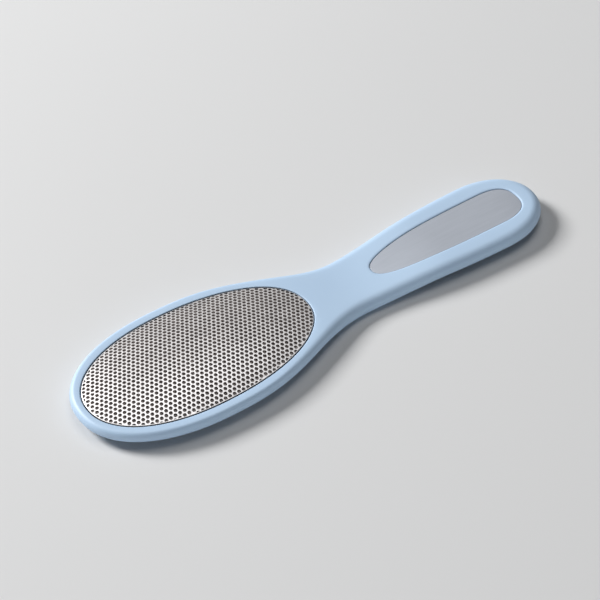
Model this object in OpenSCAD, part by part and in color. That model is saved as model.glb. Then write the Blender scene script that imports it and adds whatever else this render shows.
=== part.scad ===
// Foot file: an oval head with a domed, perforated file plate, a waisted neck and a handle with a flat inlay.
// X runs from the head's tip to the handle's end, Y across, Z up, and the tool rests on Z 0.

/* [Body] */
// Length from the head's tip to the handle's end
length = 210; // [200:1:225]
// Width of the head
head_w = 59.6; // [55:0.1:65]
// Width of the neck at its narrowest
neck_w = 28.1; // [25:0.1:31]
// Width of the handle at its widest
handle_w = 36; // [33:0.1:39]
// From the head's tip to its widest place
head_tip_len = 49.3; // [46:0.1:54]
// From the head's tip to the narrowest place of the neck
neck_at = 120.2; // [117:0.1:126]
// From the handle's widest place to its end
handle_end_len = 24.8; // [22:0.2:30]
// Squareness of the head's tip, where 2 is an ellipse
head_power = 2.2; // [2:0.05:2.6]
// Squareness of the handle's end
handle_power = 2.1; // [2:0.05:2.6]

/* [Section] */
// Height of the upper shell over the parting line, at the head
head_crown = 2.75; // [2.5:0.05:3.5]
// Height of the upper shell over the parting line, at the neck
neck_crown = 3.7; // [3.5:0.1:4.5]
// Height of the upper shell over the parting line, at the handle
handle_crown = 3.55; // [3.4:0.05:4.5]
// Depth of the lower shell under the parting line, at the head
head_depth = 2.25; // [2:0.05:3]
// Depth of the lower shell under the parting line, at the neck
neck_depth = 2.45; // [2.3:0.05:3.2]
// Depth of the lower shell under the parting line, at the handle
handle_depth = 2.4; // [2.3:0.05:3.4]
// Height of the handle's underside over the surface that the tool rests on
handle_lift = 2.2; // [1.6:0.1:2.4]
// Width of the rounded upper edge at the head
head_edge = 2.1; // [1.5:0.1:2.6]
// Width of the rounded upper edge at the neck
neck_edge = 4.2; // [3.5:0.1:6]
// Width of the rounded upper edge at the handle
handle_edge = 4.2; // [3.5:0.1:6]
// Width of the rounded lower edge
under_edge = 3.5; // [2.5:0.1:4.5]
// Length of the slope from the neck up to the head
head_ramp = 27; // [24:0.5:32]
// Length of the slope from the neck up to the handle
handle_ramp = 39.5; // [34:0.5:44]
// Length over which the upper edge grows tighter from the neck to the head
edge_ramp = 58; // [50:1:66]

/* [File plate] */
// Length of the plate
plate_len = 96.6; // [92:0.1:98]
// Width of the rim beside the plate
rim_w = 4.9; // [4.4:0.1:6]
// Width of the rim at the head's tip
rim_tip = 4.1; // [3.7:0.1:5]
// Squareness of the plate's outline, where 2 is an ellipse
plate_power = 2.15; // [2:0.05:2.4]
// Thickness of the steel sheet
plate_t = 0.4; // [0.3:0.05:0.6]
// Rise of the dome over its edge
dome_rise = 4.5; // [2.5:0.1:5.5]
// Depth of the plate's edge under the top of the rim
edge_drop = 0.15; // [0.1:0.05:0.4]
// Height of the edge that turns down into the groove
skirt_h = 1; // [0.6:0.1:1.2]
// Diameter of the holes
hole_d = 1.55; // [1.2:0.05:1.6]
// Distance between holes along a row
hole_pitch = 2.1; // [2.1:0.1:3]
// Distance between rows
row_pitch = 1.7; // [1.7:0.1:2.6]
// Width of the groove round the plate
groove_w = 0.4; // [0.3:0.05:0.6]
// Radius of the rim's inner edge
rim_round = 0.4; // [0.3:0.1:0.6]

/* [Plate carrier] */
// Room under the plate for what is filed off
chip_gap = 0.3; // [0.2:0.05:0.6]
// Width of the carrier's ledge under the plate's edge
ledge_w = 1.6; // [1.2:0.1:2.4]
// Least thickness of the carrier's floor
carrier_floor = 0.5; // [0.4:0.05:0.6]
// Clearance between the carrier and the plate
carrier_fit = 0.1; // [0.05:0.05:0.2]

/* [Handle inlay] */
// Length of the inlay
inlay_len = 70.1; // [62:0.1:74]
// Width of the handle's top beside the inlay
inlay_rim = 9.1; // [8.4:0.1:10]
// From the handle's end to the inlay
inlay_from_end = 8.5; // [7.5:0.1:9.5]
// From the inlay's widest place to its end
inlay_end_len = 13.4; // [11:0.5:16]
// Thickness of the inlay
inlay_t = 0.8; // [0.5:0.1:1]
// Depth of the inlay's face under the handle's top
inlay_drop = 0.4; // [0.3:0.05:0.6]
// Width of the rounded lip round the inlay
lip_w = 1; // [0.6:0.1:1.2]
// Clearance round the inlay
inlay_fit = 0.15; // [0.1:0.05:0.3]

/* [Fine pad] */
// Width of the head's underside beside the pad
pad_rim = 6; // [5:0.5:8]
// Length of the pad
pad_len = 90; // [80:1:92]
// Thickness of the abrasive sheet
grit_t = 0.4; // [0.3:0.1:0.6]
// Thickness of the foam
foam_t = 2.65; // [2.4:0.05:3]
// Depth of the pad's recess
pad_recess = 1; // [0.6:0.1:1.2]

/* [Inside] */
// Thickness of the adhesive films
film_t = 0.15; // [0.1:0.05:0.2]
// Thickness of the shells' roof over their hollows, under the inlay
roof_t = 2.5; // [2.4:0.05:2.7]
// Thickness of the lower shell's floor
floor_t = 1.3; // [1.2:0.05:1.5]
// Thickness of the shells' side walls at the parting line
side_t = 2.6; // [2:0.1:3.2]
// Thickness of the ribs
rib_t = 1.6; // [1.2:0.1:2]
// From the neck's narrowest place back to the first hollow
hollow_back = 13; // [11:0.5:14]
// From the last hollow to the handle's end
hollow_from_end = 9; // [8:0.5:12]
// Diameter of the locating pegs
peg_d = 2.4; // [2:0.1:3]
// Height of the locating pegs
peg_h = 1.4; // [1:0.1:1.5]
// Diameter of the bosses round the pegs
boss_d = 6; // [5:0.5:7]
// Clearance between the pegs and their sockets
peg_fit = 0.1; // [0.05:0.05:0.2]

/* [Hidden] */

// How far a cut runs past the face that it opens
over = 1;
// Facets: stations round each end and along each waist, bands round an edge, points of an egg, bands of a lip,
// stations along a hollow
end_steps = 14;
waist_steps = 16;
band_steps = 6;
egg_steps = 18;
lip_steps = 3;
side_steps = 4;
round_fn = 32;
hole_fn = 16;
// Bays between the cross ribs, and the ribs that carry a peg
bays = 6;
peg_ribs = [1, 3, 5];
// Hole rows and holes along a row that one facet of the dome spans
facet_rows = 2;
facet_holes = 2;
// How much later the head's side turns in than a plain wave would
shoulder_power = 1.3;
// How much sooner the handle's side widens than a plain wave would
waist_power = 0.8;
// Squareness of the inlay's outline
inlay_power = 2.6;
// How many clearances a film stays back from the piece that it bonds
film_back_share = 2;

head_x = head_tip_len - length / 2;
neck_x = neck_at - length / 2;
grip_x = length / 2 - handle_end_len;

head_lift = grit_t + foam_t + film_t - pad_recess;
head_level = head_lift + head_depth;
neck_level = neck_depth;
handle_level = handle_lift + handle_depth;

plate_tip = head_tip_len - rim_tip;
plate_tail = plate_len - plate_tip;
plate_half = head_w / 2 - rim_w;
rim_z = head_level + head_crown;
edge_z = rim_z - edge_drop;
seat_z = edge_z - skirt_h;
carrier_in = plate_t + carrier_fit;

inlay_half = handle_w / 2 - inlay_rim;
inlay_x = length / 2 - inlay_from_end - inlay_end_len;
inlay_tail = inlay_len - inlay_end_len;

pad_half = head_w / 2 - pad_rim;
pad_tip = head_tip_len - pad_rim;
pad_roof_z = head_lift + pad_recess;

hollow_x = neck_x - hollow_back;
bay = (length / 2 - hollow_from_end - hollow_x) / bays;

// A smooth step from 0 to 1
function wave(u) = (1 - cos(180 * min(max(u, 0), 1))) / 2;

// A size that has one value at the head, one at the neck and one at the handle
function along(x, head, neck, grip, ramp = head_ramp) = x < neck_x
    ? neck + (head - neck) * wave((neck_x - x) / ramp)
    : neck + (grip - neck) * wave((x - neck_x) / handle_ramp);

function level_at(x) = along(x, head_level, neck_level, handle_level);
function crown_at(x) = along(x, head_crown, neck_crown, handle_crown);
function depth_at(x) = along(x, head_depth, neck_depth, handle_depth);
function edge_at(x) = along(x, head_edge, neck_edge, handle_edge, edge_ramp);
function top_at(x) = level_at(x) + crown_at(x);
function bottom_at(x) = level_at(x) - depth_at(x);

// Half the body's width at a place x
function half_at(x) =
    x <= head_x ? head_w / 2 * pow(max(0, 1 - pow((head_x - x) / head_tip_len, head_power)), 1 / head_power) :
    x <= neck_x ? let (u = pow((x - head_x) / (neck_x - head_x), shoulder_power))
        head_w / 2 + (neck_w - head_w) / 2 * wave(u) :
    x <= grip_x ? let (u = pow((x - neck_x) / (grip_x - neck_x), waist_power))
        neck_w / 2 + (handle_w - neck_w) / 2 * wave(u) :
    handle_w / 2 * pow(max(0, 1 - pow((x - grip_x) / handle_end_len, handle_power)), 1 / handle_power);

// Places along X, close together where the ends turn round
function end_places(x, reach, power) =
    [for (i = [0 : end_steps]) x + reach * pow(cos(90 * i / end_steps), 2 / power)];
function even_places(a, b) = [for (i = [1 : waist_steps]) a + (b - a) * i / waist_steps];
function reversed(v) = [for (i = [len(v) - 1 : -1 : 0]) v[i]];

// One side of the body's outline, from the head's tip to the handle's end
body_side = let (
        tip = end_places(head_x, -head_tip_len, head_power),
        last = reversed(end_places(grip_x, handle_end_len, handle_power)))
    [for (x = concat(tip, even_places(head_x, neck_x), even_places(neck_x, grip_x),
        [for (i = [1 : end_steps]) last[i]]))
        [x, half_at(x)]];

// One side of an egg that is widest at x, with its own length each way
function egg_side(x, tip, tail, half, power) = [for (i = [0 : 2 * egg_steps])
    let (t = 90 * i / egg_steps, c = cos(t))
    [x + (c > 0 ? -tip : tail) * pow(abs(c), 2 / power), half * pow(abs(sin(t)), 2 / power)]];

// The closed loop of points that a side and its mirror image make
function loop(side) = concat(side, [for (j = [len(side) - 2 : -1 : 1]) [side[j].x, -side[j].y]]);

// Outward direction of a side at point j
function normal_at(side, j) = let (
        n = len(side),
        before = j == 0 ? [side[1].x, -side[1].y] : side[j - 1],
        after = j == n - 1 ? [side[j - 1].x, -side[j - 1].y] : side[j + 1],
        run = after - before)
    [-run.y, run.x] / norm(run);

// A side moved inwards, by a distance that may change along it, at a height that may change along it
function ring(side, inward, height) = [for (j = [0 : len(side) - 1])
    let (p = side[j], q = p - inward(p.x) * normal_at(side, j))
    [q.x, j == 0 || j == len(side) - 1 ? 0 : q.y, height(p.x)]];

// A rounded edge at an angle: how far in from the side, and how far from the face
function edge_in(width, t) = width * (1 - cos(t));
function edge_from(height, t) = height * (1 - sin(t));

// A solid through rings that lie one above the other, each given as one side and closed by its mirror image
module loft(rings) {
    n = len(rings[0]);
    m = 2 * n - 2;
    top = len(rings) - 1;
    points = [for (r = rings) each concat(r, [for (j = [n - 2 : -1 : 1]) [r[j].x, -r[j].y, r[j].z]])];
    function at(k, j) = k * m + (j + m) % m;
    walls = [for (k = [0 : top - 1]) for (j = [0 : m - 1])
        each [[at(k, j), at(k, j + 1), at(k + 1, j + 1)], [at(k, j), at(k + 1, j + 1), at(k + 1, j)]]];
    lids = [for (j = [1 : n - 3])
        each [[at(top, j), at(top, j + 1), at(top, -j - 1), at(top, -j)],
            [at(0, j), at(0, -j), at(0, -j - 1), at(0, j + 1)]]];
    tips = [for (j = [0, n - 2])
        each j == 0
            ? [[at(top, 0), at(top, 1), at(top, -1)], [at(0, 0), at(0, -1), at(0, 1)]]
            : [[at(top, j), at(top, j + 1), at(top, -j)], [at(0, j), at(0, -j), at(0, j + 1)]]];
    polyhedron(points = points, faces = concat(walls, lids, tips));
}

// An outline from one height to another, where both may change along X
module slab(side, low, high) {
    loft([ring(side, function(x) 0, low), ring(side, function(x) 0, high)]);
}

function plate_side(inset) =
    egg_side(head_x, plate_tip - inset, plate_tail - inset, plate_half - inset, plate_power);
function inlay_side(inset) =
    egg_side(inlay_x, inlay_tail - inset, inlay_end_len - inset, inlay_half - inset, inlay_power);
function pad_side(inset) =
    egg_side(head_x, pad_tip - inset, pad_len - pad_tip - inset, pad_half - inset, plate_power);

// A flat-sided block with the plate's outline, set in by a distance
module plate_block(inset, low, high) {
    translate([0, 0, low])
        linear_extrude(height = high - low)
            polygon(loop(plate_side(inset)));
}

module pad_block(inset, low, high) {
    translate([0, 0, low])
        linear_extrude(height = high - low)
            polygon(loop(pad_side(inset)));
}

// Height of the plate's outer face: its edge lies in one plane because the dome and the outline share a power
function dome_z(x, y) = let (reach = x < 0 ? plate_tip : plate_tail)
    edge_z + dome_rise * (1 - pow(abs(x) / reach, plate_power) - pow(abs(y) / plate_half, plate_power));

// Everything under the dome, lowered by a drop, in flat facets whose creases run between the rows of holes
module under_dome(drop) {
    facet_x = facet_holes * hole_pitch;
    cols = ceil(max(plate_tip, plate_tail) / facet_x);
    rows = ceil(plate_half / (facet_rows * row_pitch)) + 1;
    xs = [for (i = [-cols : cols]) i * facet_x];
    ys = [for (j = [-rows : rows]) if (j != 0)
        sign(j) * ((abs(j) - 1) * facet_rows + 1 / 2) * row_pitch];
    w = len(ys);
    l = len(xs);
    low = seat_z - 3 * dome_rise;
    function up(i, j) = i * w + j;
    corners = [for (x = [xs[0], xs[l - 1]]) for (y = [ys[0], ys[w - 1]]) [head_x + x, y, low]];
    c = l * w;
    points = concat([for (x = xs) for (y = ys) [head_x + x, y, dome_z(x, y) - drop]], corners);
    skin = [for (i = [0 : l - 2]) for (j = [0 : w - 2])
        each [[up(i, j), up(i, j + 1), up(i + 1, j + 1)], [up(i, j), up(i + 1, j + 1), up(i + 1, j)]]];
    sides = [
        concat([for (i = [0 : l - 1]) up(i, 0)], [c + 2, c]),
        concat([for (i = [l - 1 : -1 : 0]) up(i, w - 1)], [c + 1, c + 3]),
        concat([for (j = [w - 1 : -1 : 0]) up(0, j)], [c, c + 1]),
        concat([for (j = [0 : w - 1]) up(l - 1, j)], [c + 3, c + 2])];
    polyhedron(points = points, faces = concat(skin, sides, [[c, c + 2, c + 3, c + 1]]));
}

// Centres of the holes: staggered rows along X, each as long as the outline inside the turned-down edge allows
function hole_centres() = let (
        inset = plate_t + hole_d / 2 + carrier_fit,
        half = plate_half - inset,
        rows = floor(half / row_pitch))
    [for (j = [-rows : rows])
        let (y = j * row_pitch,
            share = pow(1 - pow(abs(y) / half, plate_power), 1 / plate_power),
            shift = abs(j) % 2 / 2,
            first = ceil(-(plate_tip - inset) * share / hole_pitch - shift),
            last = floor((plate_tail - inset) * share / hole_pitch - shift))
        if (last >= first)
            for (i = [first : last]) [head_x + (i + shift) * hole_pitch, y]];

// The recess that the plate sits in, with the rim's inner edge rounded
module plate_recess() {
    plate_block(-groove_w, seat_z, rim_z + over);
    side = plate_side(-groove_w);
    loft(concat(
        [for (i = [0 : lip_steps]) let (t = 90 * i / lip_steps)
            ring(side, function(x) -edge_in(rim_round, t), function(x) rim_z - edge_from(rim_round, t))],
        [ring(side, function(x) -rim_round, function(x) rim_z + over)]));
}

// The recess that the inlay lies in, with a lip that rounds down to the inlay's face
module inlay_recess() {
    side = inlay_side(-inlay_fit);
    loft(concat(
        [ring(side, function(x) 0, function(x) top_at(x) - inlay_drop - inlay_t - film_t)],
        [for (i = [0 : lip_steps]) let (t = 90 * i / lip_steps)
            ring(side, function(x) -edge_in(lip_w, t), function(x) top_at(x) - edge_from(inlay_drop, t))],
        [ring(side, function(x) -lip_w, function(x) top_at(x) + over)]));
}

// Places of the cross ribs that carry the pegs
peg_places = [for (k = peg_ribs) hollow_x + k * bay];

// A height that runs straight from one place to another
function chord(a, b, height) = function(x) height(a) + (height(b) - height(a)) * (x - a) / (b - a);

// A block over a plan, between two heights that change evenly along X
module sloped_block(plan, low, high) {
    n = len(plan);
    points = [for (h = [low, high]) each [for (p = plan) [p.x, p.y, h(p.x)]]];
    walls = [for (i = [0 : n - 1]) let (j = (i + 1) % n) [i, j, n + j, n + i]];
    lids = [[for (i = [n - 1 : -1 : 0]) i], [for (i = [0 : n - 1]) n + i]];
    polyhedron(points = points, faces = concat(walls, lids));
}

// Hollows of the handle from one height to another in each bay, on both sides of the middle rib
module hollows(low, high) {
    for (k = [0 : bays - 1]) {
        a = hollow_x + k * bay;
        b = a + bay;
        from = a + rib_t / 2;
        step = (bay - rib_t) / side_steps;
        outside = [for (i = [0 : side_steps]) let (x = from + i * step) [x, half_at(x) - side_t]];
        plan = concat(outside, [[b - rib_t / 2, rib_t / 2], [from, rib_t / 2]]);
        for (side = [0, 1])
            mirror([0, side, 0])
                difference() {
                    sloped_block(plan, chord(a, b, low), chord(a, b, high));
                    for (x = peg_places)
                        translate([x, 0, low(x) - over])
                            cylinder(d = boss_d, h = high(x) - low(x) + 2 * over, $fn = round_fn);
                }
    }
}

module upper_shell() {
    color([0.68, 0.79, 0.88])
    difference() {
        loft([for (k = [0 : band_steps]) let (t = 90 * k / band_steps)
            ring(body_side,
                function(x) edge_in(edge_at(x), t),
                function(x) top_at(x) - edge_from(crown_at(x), t))]);
        plate_recess();
        inlay_recess();
        hollows(function(x) level_at(x) - over, function(x) top_at(x) - roof_t);
        for (x = peg_places)
            translate([x, 0, level_at(x) - over])
                cylinder(d = peg_d + 2 * peg_fit, h = over + peg_h + peg_fit, $fn = round_fn);
    }
}

module lower_shell() {
    color([0.66, 0.77, 0.86]) {
        difference() {
            loft([for (k = [band_steps : -1 : 0]) let (t = 90 * k / band_steps)
                ring(body_side,
                    function(x) edge_in(under_edge, t),
                    function(x) bottom_at(x) + edge_from(depth_at(x), t))]);
            pad_block(-groove_w, -over, pad_roof_z);
            hollows(function(x) bottom_at(x) + floor_t, function(x) level_at(x) + over);
        }
        for (x = peg_places)
            translate([x, 0, level_at(x) - over])
                cylinder(d = peg_d, h = over + peg_h, $fn = round_fn);
    }
}

// The skilled piece: a domed sheet whose edge turns down, punched through with staggered rows of round holes
module file_plate() {
    color([0.78, 0.77, 0.75])
    difference() {
        intersection() {
            plate_block(0, seat_z, edge_z + dome_rise + over);
            under_dome(0);
        }
        intersection() {
            plate_block(plate_t, seat_z - over, edge_z + dome_rise + over);
            under_dome(plate_t);
        }
        for (c = hole_centres())
            translate([c.x, c.y, seat_z])
                cylinder(d = hole_d, h = skirt_h + dome_rise + over, $fn = hole_fn);
    }
}

// Dark insert: a ledge all round carries the plate's edge, and the middle lies a little lower
module plate_carrier() {
    color([0.2, 0.19, 0.18])
    difference() {
        intersection() {
            plate_block(carrier_in, seat_z + film_t, edge_z + dome_rise);
            under_dome(carrier_in);
        }
        difference() {
            plate_block(carrier_in + ledge_w, seat_z + film_t + carrier_floor, edge_z + dome_rise + over);
            under_dome(carrier_in + chip_gap);
        }
    }
}

module carrier_film() {
    color([0.9, 0.88, 0.8])
    plate_block(carrier_in + film_back_share * groove_w, seat_z, seat_z + film_t);
}

module handle_inlay() {
    color([0.68, 0.7, 0.73])
    slab(inlay_side(0),
        function(x) top_at(x) - inlay_drop - inlay_t,
        function(x) top_at(x) - inlay_drop);
}

module inlay_film() {
    color([0.9, 0.88, 0.8])
    slab(inlay_side(film_back_share * inlay_fit),
        function(x) top_at(x) - inlay_drop - inlay_t - film_t,
        function(x) top_at(x) - inlay_drop - inlay_t);
}

module fine_sheet() {
    color([0.3, 0.31, 0.33])
    pad_block(0, 0, grit_t);
}

module pad_foam() {
    color([0.85, 0.86, 0.88])
    pad_block(0, grit_t, grit_t + foam_t);
}

module pad_film() {
    color([0.9, 0.88, 0.8])
    pad_block(film_back_share * groove_w, grit_t + foam_t, pad_roof_z);
}

upper_shell();
lower_shell();
file_plate();
plate_carrier();
carrier_film();
handle_inlay();
inlay_film();
fine_sheet();
pad_foam();
pad_film();
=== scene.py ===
import math

import bmesh
import bpy
import numpy as np
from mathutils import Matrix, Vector
from mathutils.geometry import delaunay_2d_cdt

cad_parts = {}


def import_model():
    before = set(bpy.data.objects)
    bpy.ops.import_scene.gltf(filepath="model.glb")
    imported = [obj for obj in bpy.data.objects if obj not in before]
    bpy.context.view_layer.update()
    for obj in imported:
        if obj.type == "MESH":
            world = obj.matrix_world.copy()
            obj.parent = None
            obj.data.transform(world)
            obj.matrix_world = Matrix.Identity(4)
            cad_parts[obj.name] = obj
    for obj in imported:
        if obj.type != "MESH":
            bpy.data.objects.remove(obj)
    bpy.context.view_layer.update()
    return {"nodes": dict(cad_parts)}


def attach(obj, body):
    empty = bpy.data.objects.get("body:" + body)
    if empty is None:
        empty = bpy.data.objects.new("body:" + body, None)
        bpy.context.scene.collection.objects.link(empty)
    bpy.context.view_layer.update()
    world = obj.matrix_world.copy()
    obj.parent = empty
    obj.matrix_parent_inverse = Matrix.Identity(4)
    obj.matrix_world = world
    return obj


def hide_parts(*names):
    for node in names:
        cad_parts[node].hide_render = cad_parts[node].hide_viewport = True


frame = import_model()

MM = 0.001

# Sizes in millimetres, as in the solids but for the holes
LENGTH = 210
HEAD_W = 59.6
NECK_W = 28.1
HANDLE_W = 36
HEAD_TIP_LEN = 49.3
NECK_AT = 120.2
HANDLE_END_LEN = 24.8
HEAD_X = HEAD_TIP_LEN - LENGTH / 2
NECK_X = NECK_AT - LENGTH / 2
GRIP_X = LENGTH / 2 - HANDLE_END_LEN
HEAD_POWER = 2.2
HANDLE_POWER = 2.1
SHOULDER_POWER = 1.3
WAIST_POWER = 0.8
HEAD_RAMP = 27
HANDLE_RAMP = 39.5
EDGE_RAMP = 58

# The fine pad, whose face is the surface that the tool rests on
GRIT_T = 0.4
FOAM_T = 2.65
FILM_T = 0.15
PAD_RECESS = 1
HEAD_LIFT = GRIT_T + FOAM_T + FILM_T - PAD_RECESS
HANDLE_LIFT = 2.2

# A size at the head, at the neck and at the handle
CROWN = (2.75, 3.7, 3.55)
DEPTH = (2.25, 2.45, 2.4)
EDGE = (2.1, 4.2, 4.2)
UNDER_EDGE = 3.5
LEVEL = (HEAD_LIFT + DEPTH[0], DEPTH[1], HANDLE_LIFT + DEPTH[2])

# The file plate and its recess
RIM_W = 4.9
RIM_TIP = 4.1
PLATE_LEN = 96.6
PLATE_TIP = HEAD_TIP_LEN - RIM_TIP
PLATE_TAIL = PLATE_LEN - PLATE_TIP
PLATE_HALF = HEAD_W / 2 - RIM_W
PLATE_POWER = 2.15
PLATE_T = 0.4
DOME_RISE = 4.5
EDGE_DROP = 0.15
SKIRT_H = 1
EDGE_Z = LEVEL[0] + CROWN[0] - EDGE_DROP
SEAT_Z = EDGE_Z - SKIRT_H
GROOVE_W = 0.4
RIM_ROUND = 0.4

# The plate's holes, a little closer together than the solid's
HOLE_D = 1.48
HOLE_PITCH = 1.97
ROW_PITCH = 1.6
# How far inside the plate's edge its face starts to bend down
BEND = 0.35
# The bend cuts the holes whose centres are nearer than this outside it
CUT_REACH = 0.45
# The dark steel that paints the groove's shade starts this far below the plate's edge, where the sheet
# is steep
GROOVE_SHADE_BELOW = 0.05
STEEP = 0.7

# The inlay, and its pocket with a rounded lip
INLAY_RIM = 9.1
INLAY_LEN = 70.1
INLAY_FROM_END = 8.5
INLAY_END_LEN = 13.4
INLAY_HALF = HANDLE_W / 2 - INLAY_RIM
INLAY_X = LENGTH / 2 - INLAY_FROM_END - INLAY_END_LEN
INLAY_TAIL = INLAY_LEN - INLAY_END_LEN
INLAY_POWER = 2.6
INLAY_T = 0.8
INLAY_DROP = 0.4
INLAY_FIT = 0.15
INLAY_BEVEL = 0.12
LIP_W = 1

# The fine pad's outline, the sheet's bevel, and how far the foam's sides pull in at its faces
PAD_RIM = 6
PAD_LEN = 90
PAD_HALF = HEAD_W / 2 - PAD_RIM
PAD_TIP = HEAD_TIP_LEN - PAD_RIM
PAD_TAIL = PAD_LEN - PAD_TIP
PAD_ROOF_Z = HEAD_LIFT + PAD_RECESS
GRIT_BEVEL = 0.1
FOAM_PULL = 0.12

# How finely the smooth surfaces are cut up
END_STEPS = 44
WAIST_STEPS = 60
BAND_STEPS = 12
ROUND_STEPS = 5
BEVEL_STEPS = 3
FOAM_STEPS = 8
EGG_STEPS = 64
HOLE_SIDES = 20
# The depth of the fine line where the two shells meet
PART_LINE = 0.05
# Spacing of the points that carry a face over its length, and how far they stay from its edges
FACE_GRID = 2.4
FACE_MARGIN = 1.0
# Points nearer than this are one: first in a plan of faces, then in a mesh
SAME_PLACE = 1e-7
WELD = 2e-4
# A point nearer than this to the plate's bend is on it
ON_BEND = 1e-4
# Edges sharper than this stay sharp in the shading
SHARP = math.radians(38)


def wave(u):
    """A smooth step from 0 to 1."""
    return (1 - np.cos(np.pi * np.clip(u, 0, 1))) / 2


def along(x, sizes, ramp=HEAD_RAMP):
    """A size that has one value at the head, one at the neck and one at the handle."""
    head, neck, grip = sizes
    return np.where(
        x < NECK_X,
        neck + (head - neck) * wave((NECK_X - x) / ramp),
        neck + (grip - neck) * wave((x - NECK_X) / HANDLE_RAMP),
    )


def top_at(x):
    """Height of the body's top."""
    return along(x, LEVEL) + along(x, CROWN)


def bottom_at(x):
    """Height of the body's underside."""
    return along(x, LEVEL) - along(x, DEPTH)


def lame(share, power):
    """The other side's share, 0 to 1, of a rounded end of that squareness."""
    return np.clip(1 - np.clip(share, 0, 1) ** power, 0, 1) ** (1 / power)


def half_at(x):
    """Half the body's width."""
    shoulder = np.clip((x - HEAD_X) / (NECK_X - HEAD_X), 0, 1) ** SHOULDER_POWER
    waist = np.clip((x - NECK_X) / (GRIP_X - NECK_X), 0, 1) ** WAIST_POWER
    return np.select(
        [x <= HEAD_X, x <= NECK_X, x <= GRIP_X],
        [
            HEAD_W / 2 * lame((HEAD_X - x) / HEAD_TIP_LEN, HEAD_POWER),
            HEAD_W / 2 + (NECK_W - HEAD_W) / 2 * wave(shoulder),
            NECK_W / 2 + (HANDLE_W - NECK_W) / 2 * wave(waist),
        ],
        HANDLE_W / 2 * lame((x - GRIP_X) / HANDLE_END_LEN, HANDLE_POWER),
    )


def body_loop():
    """The body's outline as a closed loop, from the head's tip round the handle's end and back."""
    turn = np.cos(np.pi / 2 * np.arange(END_STEPS + 1) / END_STEPS)
    tip = HEAD_X - HEAD_TIP_LEN * turn ** (2 / HEAD_POWER)
    end = (GRIP_X + HANDLE_END_LEN * turn ** (2 / HANDLE_POWER))[::-1]
    shoulder = np.linspace(HEAD_X, NECK_X, WAIST_STEPS + 1)[1:]
    waist = np.linspace(NECK_X, GRIP_X, WAIST_STEPS + 1)[1:]
    x = np.concatenate([tip, shoulder, waist, end[1:]])
    return mirrored(np.stack([x, half_at(x)], 1))


def egg_loop(x, tip, tail, half, power):
    """A closed egg that is widest at x, and reaches tip before it and tail behind it."""
    t = np.pi / 2 * np.arange(2 * EGG_STEPS + 1) / EGG_STEPS
    reach = np.where(np.cos(t) > 0, -tip, tail)
    side = np.stack(
        [
            x + reach * np.abs(np.cos(t)) ** (2 / power),
            half * np.abs(np.sin(t)) ** (2 / power),
        ],
        1,
    )
    return mirrored(side)


def mirrored(side):
    """A closed loop from one side: its ends on the middle line, then its mirror image back."""
    side[[0, -1], 1] = 0
    return np.concatenate([side, side[-2:0:-1] * [1, -1]])


def plate_loop(inset):
    """The plate's outline, moved inward."""
    return egg_loop(HEAD_X, PLATE_TIP - inset, PLATE_TAIL - inset, PLATE_HALF - inset, PLATE_POWER)


def inlay_loop(inset):
    """The inlay's outline, moved inward."""
    return egg_loop(
        INLAY_X, INLAY_TAIL - inset, INLAY_END_LEN - inset, INLAY_HALF - inset, INLAY_POWER
    )


def pad_loop(inset):
    """The fine pad's outline, moved inward."""
    return egg_loop(HEAD_X, PAD_TIP - inset, PAD_TAIL - inset, PAD_HALF - inset, PLATE_POWER)


def normals_of(loop):
    """Outward directions at a loop's points."""
    run = np.roll(loop, -1, 0) - np.roll(loop, 1, 0)
    normal = np.stack([-run[:, 1], run[:, 0]], 1)
    return normal / np.linalg.norm(normal, axis=1, keepdims=True)


def ring(loop, inward, height):
    """The loop moved inward, at a height. Both may be functions, of x before and after the move."""
    step = inward(loop[:, 0]) if callable(inward) else inward
    moved = loop - (normals_of(loop).T * step).T
    z = height(moved[:, 0]) if callable(height) else np.full(len(loop), float(height))
    return np.column_stack([moved, z])


def strip(rings):
    """Quads between closed rings of the same count."""
    n = len(rings[0])
    points = np.concatenate(rings)
    faces = []
    for k in range(len(rings) - 1):
        for j in range(n):
            a, b = k * n + j, k * n + (j + 1) % n
            faces.append((a, b, b + n, a + n))
    return points, faces


def lid(edge):
    """A face across a symmetric closed ring, in strips from side to side."""
    n = len(edge)
    half = n // 2
    faces = [(0, 1, n - 1)]
    faces += [(j, j + 1, n - j - 1, n - j) for j in range(1, half - 1)]
    faces += [(half - 1, half, half + 1)]
    return edge, faces


def capped(rings):
    """The parts of a closed form: its sides, and a lid at each end."""
    return [strip(rings), lid(rings[0]), lid(rings[-1])]


def face_with_holes(outer, holes, height):
    """A face between an outer loop and the loops of its holes, lifted to a height at each place."""
    flat, kept = plan_faces([outer, *holes], face_points(outer, holes))
    return np.column_stack([flat, height(flat[:, 0])]), kept


def plan_faces(loops, inner):
    """Triangles inside the first loop and outside all others, with extra points inside."""
    ids, start = [], 0
    for loop in loops:
        after = np.roll(loop, -1, 0)
        area = np.sum(loop[:, 0] * after[:, 1] - after[:, 0] * loop[:, 1])
        run = list(range(start, start + len(loop)))
        ids.append(run if area > 0 else run[::-1])
        start += len(loop)
    points = np.concatenate([*loops, inner.reshape(-1, 2)])
    flat, _, faces, _, _, origin = delaunay_2d_cdt(
        [Vector(p) for p in points], [], ids, 0, SAME_PLACE, True
    )
    return np.array(flat), [tuple(f) for f, o in zip(faces, origin) if list(o) == [0]]


def inside(points, loop):
    """Which points are inside a closed loop."""
    x, y = points[:, 0:1], points[:, 1:2]
    a, b = loop, np.roll(loop, -1, 0)
    crosses = (a[:, 1] > y) != (b[:, 1] > y)
    rise = np.where(b[:, 1] == a[:, 1], 1, b[:, 1] - a[:, 1])
    at = a[:, 0] + (y - a[:, 1]) / rise * (b[:, 0] - a[:, 0])
    return np.sum(crosses & (x < at), 1) % 2 == 1


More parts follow.
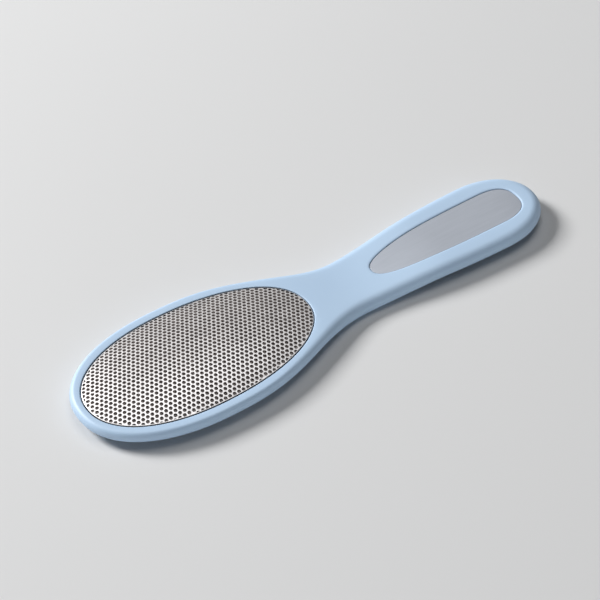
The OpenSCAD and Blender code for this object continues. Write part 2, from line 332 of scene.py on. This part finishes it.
def face_points(outer, holes):
    """Even points over a face, clear of its edges."""
    low, high = outer.min(0), outer.max(0)
    xs = np.arange(low[0], high[0], FACE_GRID)
    ys = np.arange(low[1], high[1], FACE_GRID)
    grid = np.stack(np.meshgrid(xs, ys), -1).reshape(-1, 2)
    keep = inside(grid, outer)
    for loop in holes:
        keep &= ~inside(grid, loop)
    grid = grid[keep]
    edges = np.concatenate([outer, *holes])
    gap = np.array([np.min(np.hypot(*(edges - p).T)) for p in grid])
    return grid[gap > FACE_MARGIN]


def build(name, parts):
    """One welded mesh object from parts in millimetres, shaded smooth with its sharp edges kept."""
    points, faces, base = [], [], 0
    for part_points, part_faces in parts:
        points.append(np.asarray(part_points, float))
        faces += [tuple(base + i for i in f) for f in part_faces]
        base += len(part_points)
    mesh = bpy.data.meshes.new(name)
    mesh.from_pydata(np.concatenate(points) * MM, [], faces)
    edit = bmesh.new()
    edit.from_mesh(mesh)
    bmesh.ops.remove_doubles(edit, verts=edit.verts, dist=WELD * MM)
    bmesh.ops.recalc_face_normals(edit, faces=edit.faces)
    edit.to_mesh(mesh)
    edit.free()
    mesh.shade_smooth()
    mesh.set_sharp_from_angle(angle=SHARP)
    obj = bpy.data.objects.new(name, mesh)
    bpy.context.scene.collection.objects.link(obj)
    return obj


def dress(obj, material, node):
    """The piece takes its material and slot, rides on the body and stands for its CAD node."""
    obj.data.materials.clear()
    obj.data.materials.append(material)
    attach(obj, "root")
    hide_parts(node)
    return obj


def quarter(steps):
    """Angles from 0 to a right angle."""
    return [np.pi / 2 * k / steps for k in range(steps + 1)]


def shell_side(sign, sizes, edge):
    """Rings up, or down, the rounded edge of a shell, from the line where the shells meet."""
    loop = body_loop()
    rings = [ring(loop, PART_LINE, lambda x: along(x, LEVEL))]
    for t in quarter(BAND_STEPS):
        rings.append(
            ring(
                loop,
                lambda x, t=t: edge(x) * (1 - math.cos(t)),
                lambda x, t=t: along(x, LEVEL)
                + sign * (along(x, sizes) * math.sin(t) + PART_LINE * math.cos(t)),
            )
        )
    return rings


def upper_shell():
    """The upper half of the body, with the plate's recess and the inlay's pocket."""
    rings = shell_side(1, CROWN, lambda x: along(x, EDGE, EDGE_RAMP))
    recess = [
        ring(
            plate_loop(-GROOVE_W),
            -RIM_ROUND * (1 - math.sin(t)),
            lambda x, t=t: top_at(x) - RIM_ROUND * (1 - math.cos(t)),
        )
        for t in quarter(ROUND_STEPS)
    ]
    recess.append(ring(plate_loop(-GROOVE_W), 0, SEAT_Z))
    pocket = [
        ring(
            inlay_loop(-INLAY_FIT),
            -LIP_W * (1 - math.sin(t)),
            lambda x, t=t: top_at(x) - INLAY_DROP * (1 - math.cos(t)),
        )
        for t in quarter(ROUND_STEPS)
    ]
    pocket.append(
        ring(inlay_loop(-INLAY_FIT), 0, lambda x: top_at(x) - INLAY_DROP - INLAY_T - FILM_T)
    )
    parts = [
        strip(rings),
        lid(rings[0]),
        face_with_holes(rings[-1][:, :2], [recess[0][:, :2], pocket[0][:, :2]], top_at),
        strip(recess),
        lid(recess[-1]),
        strip(pocket),
        lid(pocket[-1]),
    ]
    dress(build("upper_body", parts), shell_plastic(), "upper_shell")


def lower_shell():
    """The lower half of the body, with the pad's recess."""
    rings = shell_side(-1, DEPTH, lambda x: UNDER_EDGE)
    recess = [
        ring(pad_loop(-GROOVE_W), 0, bottom_at),
        ring(pad_loop(-GROOVE_W), 0, PAD_ROOF_Z),
    ]
    parts = [
        strip(rings),
        lid(rings[0]),
        face_with_holes(rings[-1][:, :2], [recess[0][:, :2]], bottom_at),
        strip(recess),
        lid(recess[-1]),
    ]
    dress(build("lower_body", parts), shell_plastic(), "lower_shell")


def dome_z(x, y):
    """Height of the plate's outer face."""
    reach = np.where(x < HEAD_X, PLATE_TIP, PLATE_TAIL)
    along_x = (np.abs(x - HEAD_X) / reach) ** PLATE_POWER
    across = (np.abs(y) / PLATE_HALF) ** PLATE_POWER
    return EDGE_Z + DOME_RISE * (1 - along_x - across)


def dome_normal(x, y):
    """Direction straight out of the plate's face."""
    step = 0.01
    slope_x = (dome_z(x + step, y) - dome_z(x - step, y)) / (2 * step)
    slope_y = (dome_z(x, y + step) - dome_z(x, y - step)) / (2 * step)
    normal = np.column_stack([-slope_x, -slope_y, np.ones_like(x)])
    return normal / np.linalg.norm(normal, axis=1, keepdims=True)


def distance_to(loop, points):
    """How far each point is from the sides of a closed loop."""
    side = np.roll(loop, -1, 0) - loop
    off = points[:, None, :] - loop
    share = np.clip((off * side).sum(2) / (side * side).sum(1), 0, 1)
    return np.linalg.norm(off - share[:, :, None] * side, axis=2).min(1)


def hole_centres():
    """Centres of the staggered holes: all inside the bend, and those outside it that it cuts."""
    bend = plate_loop(BEND)
    rows = int(PLATE_HALF // ROW_PITCH) + 1
    columns = int(PLATE_TAIL // HOLE_PITCH) + 1
    grid = np.array(
        [
            (HEAD_X + (i + abs(j) % 2 / 2) * HOLE_PITCH, j * ROW_PITCH)
            for j in range(-rows, rows + 1)
            for i in range(-columns, columns + 1)
        ]
    )
    return grid[inside(grid, bend) | (distance_to(bend, grid) < CUT_REACH)]


def punched_skin():
    """The plate's face in plan: points and triangles between the bend and the holes."""
    turn = 2 * np.pi * (np.arange(HOLE_SIDES) + 0.5) / HOLE_SIDES
    circle = HOLE_D / 2 * np.column_stack([np.cos(turn), np.sin(turn)])
    holes = [circle + centre for centre in hole_centres()]
    return plan_faces([plate_loop(BEND), *holes], np.empty((0, 2)))


def bend_order(flat):
    """The points on the plate's bend, in order round it."""
    on_bend = np.flatnonzero(distance_to(plate_loop(BEND), flat) < ON_BEND)
    return on_bend[np.argsort(np.arctan2(flat[on_bend, 1], flat[on_bend, 0] - HEAD_X))]


def sheet_faces(skin, bend, count):
    """Faces of the sheet: both skins, the walls of the holes, and the bend across cut holes."""
    faces = skin + [(a + count, c + count, b + count) for a, b, c in skin]
    edges = dict.fromkeys(pair for tri in skin for pair in zip(tri, tri[1:] + tri[:1]))
    bends = [(int(a), int(b)) for a, b in zip(bend, np.roll(bend, -1))]
    on_bend = {pair for a, b in bends for pair in ((a, b), (b, a))}
    for a, b in edges:
        if (b, a) not in edges and (a, b) not in on_bend:
            faces.append((b, a, a + count, b + count))
    for a, b in bends:
        if (a, b) not in edges and (b, a) not in edges:
            faces.append((a, b, b + count, a + count))
    return faces


def skirt_rings(line, outer, inner):
    """Rings from the face over the bend, down the turned edge, and back up to the inner skin."""
    out = edge_normals(line)
    foot = np.full(len(line), SEAT_Z)
    rings = [outer]
    for t in quarter(ROUND_STEPS)[1:]:
        moved = line + out * (BEND * math.sin(t))
        rings.append(np.column_stack([moved, outer[:, 2] - BEND * (1 - math.cos(t))]))
    rings.append(np.column_stack([line + out * BEND, foot]))
    rings.append(np.column_stack([line - out * (PLATE_T - BEND), foot]))
    return [*rings, inner]


def file_plate():
    """The domed, punched sheet with its turned-down edge."""
    flat, skin = punched_skin()
    x, y = flat[:, 0], flat[:, 1]
    outer = np.column_stack([flat, dome_z(x, y)])
    inner = outer - PLATE_T * dome_normal(x, y)
    bend = bend_order(flat)
    parts = [
        (np.concatenate([outer, inner]), sheet_faces(skin, bend, len(flat))),
        strip(skirt_rings(flat[bend], outer[bend], inner[bend])),
    ]
    plate = dress(build("plate", parts), bright_steel(), "file_plate")
    paint_groove_shade(plate)


def paint_groove_shade(plate):
    """The turned-down edge takes a rougher, dark steel whose colour is painted shade for the groove
    round the plate.
    """
    # Steep faces low on the edge get the dark steel: painted shade of the groove
    plate.data.materials.append(groove_shade_steel())
    for face in plate.data.polygons:
        if face.center.z < (EDGE_Z - GROOVE_SHADE_BELOW) * MM and abs(face.normal.z) < STEEP:
            face.material_index = 1


def edge_normals(line):
    """Outward direction of the plate's edge at points on its bend."""
    x, y = line[:, 0] - HEAD_X, line[:, 1]
    reach = np.where(x < 0, PLATE_TIP, PLATE_TAIL) - BEND
    half = PLATE_HALF - BEND
    power = PLATE_POWER - 1
    slope = np.column_stack(
        [
            np.sign(x) * (np.abs(x) / reach) ** power / reach,
            np.sign(y) * (np.abs(y) / half) ** power / half,
        ]
    )
    return slope / np.linalg.norm(slope, axis=1, keepdims=True)


def inlay():
    """The inlay, which follows the handle's slope, with a bevel round its face."""
    rings = [ring(inlay_loop(0), 0, lambda x: top_at(x) - INLAY_DROP - INLAY_T)]
    for t in quarter(ROUND_STEPS):
        rings.append(
            ring(
                inlay_loop(0),
                INLAY_BEVEL * (1 - math.cos(t)),
                lambda x, t=t: top_at(x) - INLAY_DROP - INLAY_BEVEL * (1 - math.sin(t)),
            )
        )
    dress(build("inlay", capped(rings)), satin_grey(), "handle_inlay")


def fine_sheet():
    """The abrasive sheet, bevelled on both faces."""
    loop, bevel = pad_loop(0), GRIT_BEVEL
    turns = quarter(BEVEL_STEPS)
    low = [ring(loop, bevel * (1 - math.sin(t)), bevel * (1 - math.cos(t))) for t in turns]
    high = [
        ring(loop, bevel * (1 - math.cos(t)), GRIT_T - bevel * (1 - math.sin(t))) for t in turns
    ]
    dress(build("abrasive", capped(low + high)), fine_grit(), "fine_sheet")


def pad_foam():
    """The foam layer, whose sides stand out in the middle."""
    loop = pad_loop(0)
    shares = [k / FOAM_STEPS for k in range(FOAM_STEPS + 1)]
    rings = [ring(loop, FOAM_PULL * (2 * s - 1) ** 2, GRIT_T + FOAM_T * s) for s in shares]
    piece = build("foam", capped(rings))
    dress(piece, foam_white(), "pad_foam")


class Shader:
    """A node material, whose patterns drive its colour, roughness and bump."""

    def __init__(self, name):
        self.material = bpy.data.materials.new(name)
        self.material.use_nodes = True
        tree = self.material.node_tree
        self.nodes, self.link = tree.nodes, tree.links.new
        self.surface = self.nodes["Principled BSDF"]
        self.place = self.nodes.new("ShaderNodeTexCoord").outputs["Object"]

    def set(self, **values):
        """Values that are the same all over, on the surface's own sockets."""
        for name, value in values.items():
            self.surface.inputs[name.replace("_", " ")].default_value = value

    def noise(self, scale, detail=2.0, stretch=None):
        """A fine pattern in the piece's own place, denser along an axis where stretch is over 1."""
        place = self.place
        if stretch:
            mapping = self.nodes.new("ShaderNodeMapping")
            mapping.inputs["Scale"].default_value = stretch
            self.link(place, mapping.inputs["Vector"])
            place = mapping.outputs["Vector"]
        node = self.nodes.new("ShaderNodeTexNoise")
        node.inputs["Scale"].default_value = scale
        node.inputs["Detail"].default_value = detail
        self.link(place, node.inputs["Vector"])
        return node.outputs["Fac"]

    def colour(self, pattern, dark, light, start=0.3, end=0.7):
        """The base colour runs from dark to light between two levels of the pattern."""
        node = self.nodes.new("ShaderNodeValToRGB")
        stops = zip(node.color_ramp.elements, (start, end), (dark, light))
        for element, level, shade in stops:
            element.position = level
            element.color = (*shade, 1)
        self.link(pattern, node.inputs["Fac"])
        self.link(node.outputs["Color"], self.surface.inputs["Base Color"])

    def roughness(self, pattern, low, high):
        """The roughness runs from low to high with the pattern."""
        node = self.nodes.new("ShaderNodeMapRange")
        node.inputs["To Min"].default_value = low
        node.inputs["To Max"].default_value = high
        self.link(pattern, node.inputs["Value"])
        self.link(node.outputs["Result"], self.surface.inputs["Roughness"])

    def bump(self, pattern, strength, distance):
        """The pattern stands out of the surface, by a distance in metres."""
        node = self.nodes.new("ShaderNodeBump")
        node.inputs["Strength"].default_value = strength
        node.inputs["Distance"].default_value = distance
        self.link(pattern, node.inputs["Height"])
        self.link(node.outputs["Normal"], self.surface.inputs["Normal"])


def srgb(*levels):
    """Linear colour from 0 to 255 display levels."""
    shares = [v / 255 for v in levels]
    return tuple(s / 12.92 if s <= 0.04045 else ((s + 0.055) / 1.055) ** 2.4 for s in shares)


made = {}


def once(maker):
    """The material is made at its first use and shared after that."""

    def get():
        if maker.__name__ not in made:
            made[maker.__name__] = maker()
        return made[maker.__name__]

    return get


@once
def shell_plastic():
    s = Shader("shell_plastic")
    s.set(Specular_IOR_Level=0.9)
    s.colour(s.noise(scale=35, detail=3), srgb(174, 199, 225), srgb(178, 203, 228))
    s.roughness(s.noise(scale=160, detail=3), 0.5, 0.58)
    s.bump(s.noise(scale=2600), strength=0.12, distance=0.00006)
    return s.material


@once
def bright_steel():
    s = Shader("bright_steel")
    s.set(Metallic=1.0)
    grain = s.noise(scale=420, detail=4, stretch=(0.25, 1.6, 1.0))
    s.colour(grain, (0.62, 0.60, 0.595), (0.73, 0.71, 0.705))
    s.roughness(grain, 0.39, 0.51)
    s.bump(s.noise(scale=1800, detail=3), strength=0.15, distance=0.00005)
    return s.material


# A rougher steel whose dark blue-black colour is painted shade of the groove round the plate
@once
def groove_shade_steel():
    s = Shader("groove_shade_steel")
    s.set(Metallic=0.8)
    grain = s.noise(scale=420, detail=4)
    s.colour(grain, srgb(34, 38, 48), srgb(52, 56, 66))
    s.roughness(grain, 0.55, 0.7)
    return s.material


@once
def carrier_plastic():
    s = Shader("carrier_plastic")
    s.colour(s.noise(scale=120, detail=3), srgb(124, 116, 113), srgb(142, 133, 129))
    s.roughness(s.noise(scale=300), 0.5, 0.65)
    s.bump(s.noise(scale=2200), strength=0.2, distance=0.00006)
    return s.material


@once
def satin_grey():
    s = Shader("satin_grey")
    s.set(Metallic=0.35)
    grain = s.noise(scale=700, detail=4, stretch=(0.12, 2.0, 1.0))
    s.colour(grain, srgb(167, 172, 181), srgb(172, 177, 186))
    s.roughness(grain, 0.4, 0.5)
    s.bump(grain, strength=0.03, distance=0.00002)
    return s.material


@once
def fine_grit():
    s = Shader("fine_grit")
    grains = s.noise(scale=5200)
    s.colour(grains, srgb(62, 64, 68), srgb(104, 106, 110), start=0.35)
    s.roughness(grains, 0.6, 0.9)
    s.bump(grains, strength=0.7, distance=0.00015)
    return s.material


@once
def foam_white():
    s = Shader("foam_white")
    cells = s.noise(scale=3800, detail=3)
    s.colour(cells, srgb(214, 216, 220), srgb(232, 233, 236))
    s.roughness(cells, 0.8, 0.95)
    s.bump(cells, strength=0.5, distance=0.00012)
    return s.material


@once
def film_clear():
    s = Shader("film_adhesive")
    s.colour(s.noise(scale=200), srgb(224, 220, 204), srgb(234, 230, 216))
    s.roughness(s.noise(scale=400), 0.35, 0.5)
    return s.material


def floor_paper():
    s = Shader("floor_paper")
    s.set(Roughness=0.8, Specular_IOR_Level=0.2)
    s.colour(s.noise(scale=1.3, detail=1), srgb(216, 216, 216), srgb(221, 221, 221))
    return s.material


def carried_nodes():
    """CAD nodes that stay in view keep their shape and take a finer material."""
    finishes = {
        "plate_carrier": carrier_plastic(),
        "carrier_film": film_clear(),
        "inlay_film": film_clear(),
        "pad_film": film_clear(),
    }
    for name, material in finishes.items():
        node = frame["nodes"][name]
        node.data.materials.clear()
        node.data.materials.append(material)


# The camera at the photograph's viewing angle: distances in metres, its lens and sensor in millimetres
AZIMUTH = math.radians(-34.56)
ELEVATION = math.radians(46)
DISTANCE = 0.952
AIM = (-0.0047, 0.0036, 0.005)
FOCAL = 150
SENSOR = 36
CLIP_START = 0.01


def camera():
    """The camera, turned about the place that it aims at."""
    data = bpy.data.cameras.new("camera")
    data.lens = FOCAL
    data.sensor_width = SENSOR
    data.clip_start = CLIP_START
    back = Vector(
        (
            math.sin(AZIMUTH) * math.cos(ELEVATION),
            -math.cos(AZIMUTH) * math.cos(ELEVATION),
            math.sin(ELEVATION),
        )
    )
    obj = bpy.data.objects.new("camera", data)
    obj.location = Vector(AIM) + back * DISTANCE
    obj.rotation_euler = back.to_track_quat("Z", "Y").to_euler()
    bpy.context.scene.collection.objects.link(obj)
    bpy.context.scene.camera = obj


def softbox(name, at, size, power, colour=(1, 1, 1)):
    """A soft rectangular lamp that faces the object, out of the camera's sight."""
    data = bpy.data.lights.new(name, "AREA")
    data.shape = "RECTANGLE"
    data.size, data.size_y = size
    data.energy = power
    data.color = colour
    obj = bpy.data.objects.new(name, data)
    obj.location = at
    obj.rotation_euler = Vector(at).to_track_quat("Z", "Y").to_euler()
    obj.visible_camera = False
    bpy.context.scene.collection.objects.link(obj)
    return obj


def lights():
    """The main lamp from behind, a weaker one above, and a low strip before the near side."""
    softbox("key", at=(-0.95, 1.58, 1.19), size=(0.72, 0.72), power=62.5)
    softbox("top", at=(0.3, 0.25, 1.6), size=(1, 1), power=7, colour=(0.97, 0.985, 1))
    strip_at, strip_size = (-0.5, -1.3, 0.06), (1.2, 0.1)
    low = softbox("low", at=strip_at, size=strip_size, power=6.3, colour=(0.94, 0.97, 1))
    low.visible_glossy = False


# How bright the camera and shiny faces see the world beyond the object and before it
BACKDROP = 0.7
FRONT = 0.25
# The direction beyond the object, and how far along it the world turns from FRONT to BACKDROP
BEHIND = (-1.5, 1, 0)
TURN = (-0.8, 0)
# The light that the world itself gives
WORLD_LIGHT = 0.035


def world():
    """A white world, bright to the camera and in shiny faces, that gives little light itself."""
    scene_world = bpy.data.worlds.new("studio")
    bpy.context.scene.world = scene_world
    scene_world.use_nodes = True
    nodes, link = scene_world.node_tree.nodes, scene_world.node_tree.links.new
    surface = nodes["Background"]
    surface.inputs["Color"].default_value = (1, 1, 1, 1)

    path = nodes.new("ShaderNodeLightPath")
    seen = path.outputs["Is Camera Ray"]
    for ray in ("Is Glossy Ray", "Is Transmission Ray"):
        either = nodes.new("ShaderNodeMath")
        either.operation = "MAXIMUM"
        link(seen, either.inputs[0])
        link(path.outputs[ray], either.inputs[1])
        seen = either.outputs[0]

    direction = nodes.new("ShaderNodeVectorMath")
    direction.operation = "DOT_PRODUCT"
    direction.inputs[1].default_value = BEHIND
    link(nodes.new("ShaderNodeTexCoord").outputs["Generated"], direction.inputs[0])
    side = nodes.new("ShaderNodeMapRange")
    side.inputs["From Min"].default_value, side.inputs["From Max"].default_value = TURN
    side.inputs["To Min"].default_value = FRONT
    side.inputs["To Max"].default_value = BACKDROP
    link(direction.outputs["Value"], side.inputs["Value"])

    strength = nodes.new("ShaderNodeMapRange")
    strength.inputs["To Min"].default_value = WORLD_LIGHT
    link(side.outputs["Result"], strength.inputs["To Max"])
    link(seen, strength.inputs["Value"])
    link(strength.outputs["Result"], surface.inputs["Strength"])


# Half the side of the floor, in metres
FLOOR_HALF = 3.0


def floor():
    """The plain pale floor."""
    corners = [(-1, -1), (1, -1), (1, 1), (-1, 1)]
    mesh = bpy.data.meshes.new("floor")
    mesh.from_pydata([(x * FLOOR_HALF, y * FLOOR_HALF, 0) for x, y in corners], [], [(0, 1, 2, 3)])
    mesh.materials.append(floor_paper())
    obj = bpy.data.objects.new("floor", mesh)
    bpy.context.scene.collection.objects.link(obj)


bpy.context.scene.view_settings.view_transform = "Standard"
camera()
world()
lights()
floor()
upper_shell()
lower_shell()
file_plate()
inlay()
fine_sheet()
pad_foam()
carried_nodes()
